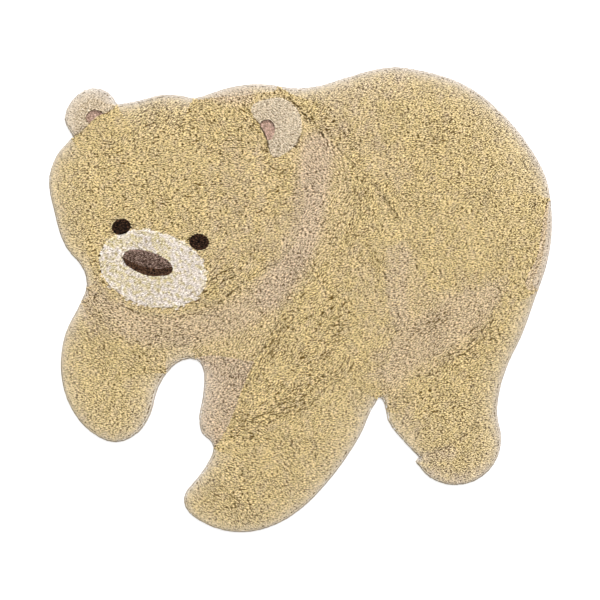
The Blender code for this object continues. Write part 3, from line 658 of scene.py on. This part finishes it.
def sow(field, style, random):  # where the tufts stand, inside a field and in rows along its borders
    spots = spread(field, style, random)
    spots, grain, rough, beside = combApart(spots[~np.isnan(heights(field, spots))], style)
    far, _, which = nearestOn(spots, field["starts"], field["finishes"])
    kept = far > np.where(field["outer"][which], ends["rugFrom"], ends["seamFrom"])
    kept &= ~np.isnan(heights(field, spots))
    if field["node"] == "pile_head":  # it leaves room for the muzzle's ragged edge
        kept &= ~passesAt(spots, toBorders(spots, "muzzle"), fieldStyles["muzzle"]["ragged"])
    spots, grain, rough, beside = (value[kept] for value in (spots, grain, rough, beside))
    inside = {
        "spots": spots, "lean": sowing["lean"] * np.column_stack([np.cos(grain), np.sin(grain)]),
        "share": np.ones(len(spots)), "shade": np.zeros(len(spots)), "grain": grain, "rough": rough,
        "beside": beside,
    }
    row = np.vstack([borderRows(field, True, ends["rugRows"]), borderRows(field, False, ends["seamRow"])])
    places, share, lean, shade, wayOut = row[:, :2], row[:, 2], row[:, 3], row[:, 4], row[:, 5:7]
    atEdge = shade != 0
    jitter = np.where(atEdge, sowing["edgeJitter"], sowing["seamJitter"])
    # The rows at the rug's edge carry painted shade, less on their upper side
    rows = {
        "spots": places + random.normal(0, 1, places.shape) * jitter[:, None],
        "lean": wayOut * np.tan(np.radians(lean))[:, None],
        "share": share, "shade": shade * (1 - sowing["shadeUp"] * wayOut[:, 1]),
        "grain": np.where(atEdge, np.arctan2(wayOut[:, 0], -wayOut[:, 1]), layOf(places, style)),
        "rough": np.full(len(row), sowing["rowRough"]), "beside": np.ones(len(row)),
    }
    sown = {label: np.concatenate([inside[label], rows[label]]) for label in inside}
    sown["z"] = heights(field, sown["spots"])
    return {label: value[~np.isnan(sown["z"])] for label, value in sown.items()}


def closedSeams(field, style, spots, z, outward, far):  # how high the pile beside a seam stands once it is shut
    level = heights(field, spots - outward * (ends["fillReach"] - far)[:, None])
    z = z + style["fill"] * np.maximum(np.nan_to_num(level - z), 0)
    if field["node"] in merged:  # it meets the next field half way
        beyond = spots + outward * (ends["fillReach"] + far)[:, None]
        others = [heights(fields[node], beyond) for node in merged if node != field["node"]]
        there = np.nanmax([np.full(len(z), -1.0), *others], axis=0)
        step = np.nan_to_num(np.where(there > 0, there - level, 0))
        z += 0.5 * step * softStep(1 - far / ends["fillReach"])
    return z


def secondYarn(style, spots, far, random):  # the share of the second yarn in each tuft
    second = style["second"]
    mix = mixing.get(style["yarn"])
    if style["yarn"] in ("sand_yarn", "rose_yarn"):
        second = np.maximum(second, strokeShare(spots, rosyStrokes))
    if style["yarn"] == "sand_yarn":
        second = second + mix["all"] + mix["rosy"] * ripple(spots, *waves["rosy"])
        second += mix["fine rosy"] * ripple(spots, *waves["fine rosy"])
    elif style["yarn"] == "umber_yarn":
        # Painted highlight: the nose takes less of its darker second yarn along the glint strokes
        second = mix["all"] * (1 - strokeShare(spots, glintStrokes))
    elif style["yarn"] == "cream_yarn":
        second = mix["all"] + strokeShare(spots, yellowStrokes)
        second += mix["yellow"] * ripple(spots, *waves["yellow"])
        second += random.normal(0, mix["chance"], len(spots)) + mix["edge"] * np.exp(-far / mix["edgeReach"])
    return np.clip(second + random.normal(0, mixing["chance"], len(spots)), 0, 1)


def passOver(field, style, tufts, outward, far, which):
    # Here and there the tufts beside the border of a ragged field stand outside it too, but clear of the eyes.
    beyond = tufts["position"][:, :2] + outward * (2 * far + sowing["passGap"])[:, None]
    clear = toBorders(beyond, "eye_left", "eye_right") > sowing["eyeGap"]
    free = clear & ~field["outer"][which] & (field["cross"][which] > style["ragged"])
    passing = np.flatnonzero(free & passesAt(beyond, far, style["ragged"]))
    more = {label: value[passing] for label, value in tufts.items()}
    more["position"][:, :2] = beyond[passing]
    return {label: np.concatenate([value, more[label]]) for label, value in tufts.items()}


def plant(field, style, seed):  # every tuft of a field: where its tip is, its turn, its size and its dye
    random = np.random.default_rng(seed)
    sown = sow(field, style, random)
    spots, z, lean, rough = (sown[label] for label in ("spots", "z", "lean", "rough"))
    far, _, which = nearestOn(spots, field["starts"], field["finishes"])
    outer, outward = field["outer"][which], -inwards(field, which)
    pull = np.clip(1 - far / sowing["leanOutReach"], 0, 1) * (outer & (far > sowing["leanOutFrom"]))
    lean += outward * (sowing["leanOut"] * pull)[:, None]
    lean += random.normal(0, sowing["leanSpread"], lean.shape)
    facing = outward @ np.array(ends["lit"])
    # Painted light along the rug's edge, stronger on its lit side
    edgeLight = sum((strength + more * facing) * np.exp(-far / reach) for strength, more, reach in paintedEdgeLight)
    edgeLight = np.where(outer, np.clip(edgeLight, 0, 1), 0)
    calm = np.where(outer, softStep(sowing["calm"] + far / sowing["calmReach"]), 1.0)
    lay = slits["sector"] * np.round(layOf(spots, style) / slits["sector"])

    close = np.flatnonzero(~outer & (far < ends["fillReach"]))
    z[close] = closedSeams(field, style, spots[close], z[close], outward[close], far[close])
    push = np.where(outer, ends["push"], 0) * np.clip(1 - far / ends["pushReach"], 0, 1)
    spots = spots + outward * push[:, None]
    base = field["points"][:, 2].min()
    z = base + (z - base) * sown["share"]
    z += random.normal(0, style["uneven"], len(z)) * calm * (1 + sowing["unevenCrumbly"] * rough)
    second = secondYarn(style, spots, far, random)
    # The tone takes the painted shade of the edge rows, less on their lit side
    tone = random.normal(0, style["tone"], len(z)) + sown["shade"] * (1 - sowing["shadeLit"] * facing)
    tone += sum(tones[name] * ripple(spots, *waves[name]) for name in ("tone", "slow tone"))
    tone += tones["rough"] * (rough - sowing["rough"]) - tones["edgeLight"] * edgeLight
    size = random.normal(1, sowing["sizeSpread"], (len(z), 1)) * (style["long"] / 2, style["wide"] / 2, 1.0)
    size[:, :2] *= (1 + sowing["paleWider"] * edgeLight)[:, None]
    size[:, 2] = np.minimum(style["tall"], np.maximum(z - base - sowing["rootGap"], sowing["shortest"]))
    tufts = {
        "position": np.column_stack([spots, z]), "turn": eulers(sown["grain"], *lean.T), "size": size,
        "second": second, "tone": tone, "edge": edgeLight, "deep": np.zeros(len(z)), "lay": -lay, "rough": rough,
        "cut": style["slits"] * (sowing["cut"] + sowing["cutCrumbly"] * rough) * calm,
        "beside": sown["beside"] * calm,
    }
    return passOver(field, style, tufts, outward, far, which) if style["ragged"] else tufts


def makeMesh(name, points, faces=(), smooth=True, **values):
    mesh = bpy.data.meshes.new(name)
    mesh.from_pydata([tuple(point) for point in points], [], [tuple(face) for face in faces])
    for label, value in values.items():
        kind, part = ("FLOAT_VECTOR", "vector") if np.ndim(value) == 2 else ("FLOAT", "value")
        attribute = mesh.attributes.new(label, kind, "POINT")
        attribute.data.foreach_set(part, np.asarray(value, np.float32).ravel())
    if smooth:
        mesh.shade_smooth()
    mesh.update()
    return mesh


def addObject(name, mesh):
    thing = bpy.data.objects.new(name, mesh)
    bpy.context.scene.collection.objects.link(thing)
    return thing


tuftShape = {"sides": 4, "waist": -0.24, "waistRise": 0.58}  # where it is widest, and how far up the tuft that counts, which sets how much of the root's painted shade it has


def makeTuft():  # one closed bud from its root at -1 to its tip at the origin, 2 across
    sides = tuftShape["sides"]
    turns = [2 * math.pi * index / sides for index in range(sides)]
    waist = [(math.cos(turn), math.sin(turn), tuftShape["waist"]) for turn in turns]
    faces = []
    for index in range(sides):
        here, after = 1 + index, 1 + (index + 1) % sides
        faces += [(0, after, here), (here, after, sides + 1)]
    mesh = makeMesh("tuft_shape", [(0.0, 0.0, -1.0), *waist, (0.0, 0.0, 0.0)], faces,
                    rise=[0.0, *[tuftShape["waistRise"]] * sides, 1.0])
    return addObject("tuft_shape", mesh)


def makeBed(field, style):
    # What the tufts stand in: the solid with its top sunk and its outer border drawn in.
    points = field["points"].copy()
    upper = np.unique(field["top"])
    base = points[:, 2].min()
    inward = np.zeros((len(points), 2))
    amount = np.full(len(points), bed["seamInset"])
    directions = inwards(field, np.arange(len(field["border"])))
    for column in (0, 1):
        np.add.at(inward, field["border"][:, column], directions)
        amount[field["border"][field["outer"], column]] = bed["inset"]
    length = np.linalg.norm(inward, axis=1)
    moving = np.flatnonzero(length > 1e-6)
    shift = inward[moving] / length[moving, None] * amount[moving, None]
    for index, move in zip(moving, shift, strict=True):
        beside = np.linalg.norm(field["points"][:, :2] - field["points"][index, :2], axis=1) < 1e-5
        points[beside, :2] = field["points"][index, :2] + move
    depth = min(bed["depth"], style["tall"] * bed["shareOfTuft"])
    points[upper, 2] = np.maximum(points[upper, 2] - depth, base + bed["atLeast"])
    second = np.maximum(style["second"], strokeShare(points[:, :2], rosyStrokes))
    zeros = np.zeros(len(points))
    # The bed is painted in the roots' dark shade through its low rise
    return makeMesh("bed", points, field["faces"], second=second, tone=zeros, rise=zeros + bed["rise"],
                    edge=zeros, deep=zeros, lay=zeros, rough=zeros, cut=zeros, beside=zeros)


def makeGrowTree():  # plants the tuft shape on every point, crumples it and joins it to its bed
    tree = bpy.data.node_groups.new("growTufts", "GeometryNodeTree")
    tree.is_modifier = True
    for name, kind in (("Geometry", "Geometry"), ("Tuft", "Object"), ("Bed", "Object"), ("Crumple", "Float"),
                       ("Crumple Size", "Float"), ("Seed", "Float"), ("Yarn", "Material")):
        addSocket(tree, name, kind)
    addSocket(tree, "Geometry", "Geometry", "OUTPUT")
    given = tree.nodes.new("NodeGroupInput").outputs

    def stored(name, kind="FLOAT"):
        return nodeIn(tree, "GeometryNodeInputNamedAttribute", {"data_type": kind}, Name=name)

    shape = nodeIn(tree, "GeometryNodeObjectInfo", Object=given["Tuft"]).outputs["Geometry"]
    turn = nodeIn(tree, "FunctionNodeEulerToRotation", Euler=stored("turn", "FLOAT_VECTOR"))
    planted = nodeIn(tree, "GeometryNodeInstanceOnPoints", Points=given["Geometry"], Instance=shape,
                     Rotation=turn, Scale=stored("size", "FLOAT_VECTOR"))
    real = nodeIn(tree, "GeometryNodeRealizeInstances", Geometry=planted)
    noise = nodeIn(tree, "ShaderNodeTexNoise", {"noise_dimensions": "4D"}, W=given["Seed"],
                   Scale=given["Crumple Size"], Detail=1.0).outputs["Color"]
    centred = nodeIn(tree, "ShaderNodeVectorMath", {"operation": "SUBTRACT"}, i0=noise, i1=(0.5, 0.5, 0.5))
    shift = nodeIn(tree, "ShaderNodeVectorMath", {"operation": "SCALE"}, i0=centred, Scale=given["Crumple"])
    crumpled = nodeIn(tree, "GeometryNodeSetPosition", Geometry=real, Offset=shift)
    place = tree.nodes.new("GeometryNodeInputPosition")
    slit = slitsIn(tree, place, stored("lay"), stored("rough"))[0]
    for factor in (stored("cut"), stored("rise"), -slits["drop"]):
        slit = mathsIn(tree, "MULTIPLY", slit, factor)
    down = nodeIn(tree, "ShaderNodeCombineXYZ", Z=slit)
    crumpled = nodeIn(tree, "GeometryNodeSetPosition", Geometry=crumpled, Offset=down)
    under = nodeIn(tree, "GeometryNodeObjectInfo", Object=given["Bed"]).outputs["Geometry"]
    both = nodeIn(tree, "GeometryNodeJoinGeometry", i0=under)
    tree.links.new(crumpled.outputs[0], both.inputs[0])
    whole = nodeIn(tree, "GeometryNodeRealizeInstances", Geometry=both)
    finished = nodeIn(tree, "GeometryNodeSetMaterial", Geometry=whole, Material=given["Yarn"])
    nodeIn(tree, "NodeGroupOutput", i0=finished)
    return tree


def squeeze(mesh, field):
    # Presses the tufts that reach over a border back to it: to the seam inside the rug, a little past its edge.
    # Then the partings are combed into them, and painted shade is put in their grooves.
    points = np.empty(len(mesh.vertices) * 3, np.float32)
    mesh.vertices.foreach_get("co", points)
    points = points.reshape(-1, 3).astype(float)
    far, place, which = nearestOn(points[:, :2], field["starts"], field["finishes"])
    inward = inwards(field, which)
    inside = ((points[:, :2] - place) * inward).sum(1)
    least = -np.where(field["outer"][which], ends["spill"], field["cross"][which])
    over = (inside < least) & (far < ends["farthest"])
    points[over, :2] += inward[over] * (least - inside)[over, None]
    beside, rise, deep = (np.zeros(len(points), np.float32) for _ in range(3))
    mesh.attributes["beside"].data.foreach_get("value", beside)
    mesh.attributes["rise"].data.foreach_get("value", rise)
    some = np.flatnonzero((beside > 0) & (rise > comb["above"]))
    near = partingAt(points[some, :2], comb["wide"])[0] * beside[some]
    points[some, 2] -= comb["drop"] * near
    deep[some] = softStep(comb["dark"] * near)
    mesh.attributes["deep"].data.foreach_set("value", deep)
    mesh.vertices.foreach_set("co", points.astype(np.float32).ravel())
    mesh.update()


tuft = makeTuft()
growTree = makeGrowTree()


def grow(name, field, style, tufts, bedMesh, seed):
    # Turns planted tufts into one plain mesh on the body of the rug.
    values = {label: value for label, value in tufts.items() if label != "position"}
    seedling = addObject("seedling", makeMesh("seedling", tufts["position"], smooth=False, **values))
    bedObject = addObject("bed", bedMesh if bedMesh else bpy.data.meshes.new("no_bed"))
    modifier = seedling.modifiers.new("grow", "NODES")
    modifier.node_group = growTree
    given = {"Tuft": tuft, "Bed": bedObject, "Crumple": crumple["amount"], "Crumple Size": crumple["size"],
             "Seed": float(seed), "Yarn": yarnMaterials[style["yarn"]]}
    for socket in growTree.interface.items_tree:
        if socket.name in given:
            modifier[socket.identifier] = given[socket.name]
    graph = bpy.context.evaluated_depsgraph_get()
    mesh = bpy.data.meshes.new_from_object(seedling.evaluated_get(graph))
    mesh.name = name
    squeeze(mesh, field)
    for thing in (seedling, bedObject):
        bpy.data.objects.remove(thing, do_unlink=True)
    piece = addObject(name, mesh)
    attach(piece, "root")
    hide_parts(field["node"])
    return piece


# The body is one field of pile. Its tufts are kept in four pieces, parted along a line down the shoulder and
# across it, in metres, before and behind that line.
shoulderLine = ((17, -60), (17.4, -21), (21.5, 3), (22.2, 14.4), (17.2, 23), (11, 33.4), (2.2, 44.2), (1, 60))
partAcross = {"front": -0.07, "back": 0.0}


def bodyParts(spots):
    line = onRug(shoulderLine)
    front = spots[:, 0] < np.interp(spots[:, 1], line[:, 1], line[:, 0])
    upper = spots[:, 1] > np.where(front, partAcross["front"], partAcross["back"])
    return {"back_pile": ~front & upper, "hind_leg_pile": ~front & ~upper, "shoulder_pile": front & upper,
            "near_foreleg_pile": front & ~upper}


piles = []
for seed, (node, field) in enumerate(fields.items(), start=1):
    style = styleOf(node)
    tufts = plant(field, style, seed)
    parts = {pieceOf(node): np.ones(len(tufts["tone"]), bool)}
    if node == "pile_body":
        parts = bodyParts(tufts["position"][:, :2])
    bedMesh = makeBed(field, style)
    for name, chosen in parts.items():
        some = {label: value[chosen] for label, value in tufts.items()}
        piles.append(grow(name, field, style, some, bedMesh, seed))
        bedMesh = None
    print("pile of", node, len(tufts["tone"]), "tufts")
bpy.data.objects.remove(tuft, do_unlink=True)
triangles = {pile.name: len(pile.data.polygons) for pile in piles}
print("triangles", sum(triangles.values()), triangles)

canvas = {
    "thread": (214, 200, 172), "between": (150, 134, 104), "threadsPerMetre": 640.0, "depth": 0.0004,
    "patches": 0.4, "patchSize": 60.0,
}


def makeCanvas():
    material, tree, shader = newMaterial("canvas_weave", {"Roughness": 0.95, "Specular IOR Level": 0.2})
    place = nodeIn(tree, "ShaderNodeTexCoord").outputs["Object"]
    pace = canvas["threadsPerMetre"] * math.pi / 20  # a wave texture turns 20 radians in its own unit
    along, across = (nodeIn(tree, "ShaderNodeTexWave", {"bands_direction": side}, Vector=place,
                            Scale=pace).outputs["Fac"] for side in ("X", "Y"))
    weave = mathsIn(tree, "MULTIPLY", along, across)
    uneven = nodeIn(tree, "ShaderNodeTexNoise", Vector=place, Scale=canvas["patchSize"], Detail=3.0)
    mixed = mathsIn(tree, "MULTIPLY_ADD", uneven, canvas["patches"], weave)
    colour = mixIn(tree, mixed, dye(*canvas["between"]), dye(*canvas["thread"]))
    bump = nodeIn(tree, "ShaderNodeBump", Strength=0.6, Distance=canvas["depth"], Height=weave)
    tree.links.new(colour, shader.inputs["Base Color"])
    tree.links.new(bump.outputs["Normal"], shader.inputs["Normal"])
    return material


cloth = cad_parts["ground_cloth"]
cloth.data.materials.clear()
cloth.data.materials.append(makeCanvas())
print("cloth woven")

# frameWidth is what the camera sees at the height of the pile's middle, in metres
studio = {
    "floor": (235, 235, 235), "floorGlow": 0.45, "floorSize": 12.0, "sky": 0.735,
    "keyPower": 262.0, "keySize": 3.6, "keyPlace": (1.05, 3.45, 3.9),
    "lens": 85.0, "sensor": 36.0, "frameWidth": 1.3134, "pileMiddle": 0.012, "aim": (-0.0005, 0.0012),
}


def makeStudio():
    scene = bpy.context.scene
    half = studio["floorSize"] / 2
    corners = [(x * half, y * half, 0) for x, y in ((-1, -1), (1, -1), (1, 1), (-1, 1))]
    floor = addObject("floor", makeMesh("floor", corners, [(0, 1, 2, 3)], smooth=False))
    paint = newMaterial("floor_paint", {
        "Base Color": dye(*studio["floor"]), "Roughness": 0.9, "Specular IOR Level": 0.1,
        "Emission Color": (1.0, 1.0, 1.0, 1.0), "Emission Strength": studio["floorGlow"],
    })[0]
    floor.data.materials.append(paint)
    world = bpy.data.worlds.new("studio")
    world.use_nodes = True
    sky = world.node_tree.nodes["Background"].inputs
    sky["Color"].default_value, sky["Strength"].default_value = (1.0, 1.0, 1.0, 1.0), studio["sky"]
    scene.world = world
    key = bpy.data.lights.new("key", "AREA")
    key.energy = studio["keyPower"]
    key.size = studio["keySize"]
    lamp = addObject("key", key)
    lamp.location = studio["keyPlace"]
    lamp.rotation_euler = (-lamp.location).to_track_quat("-Z", "Y").to_euler()
    lens = bpy.data.cameras.new("camera")
    lens.lens = studio["lens"]
    lens.sensor_width = studio["sensor"]
    camera = addObject("camera", lens)
    above = studio["frameWidth"] * studio["lens"] / studio["sensor"]
    camera.location = (*(np.array(drawing["middle"]) + studio["aim"]), studio["pileMiddle"] + above)
    scene.camera = camera
    scene.view_settings.view_transform = "Standard"


makeStudio()
print("studio lit")
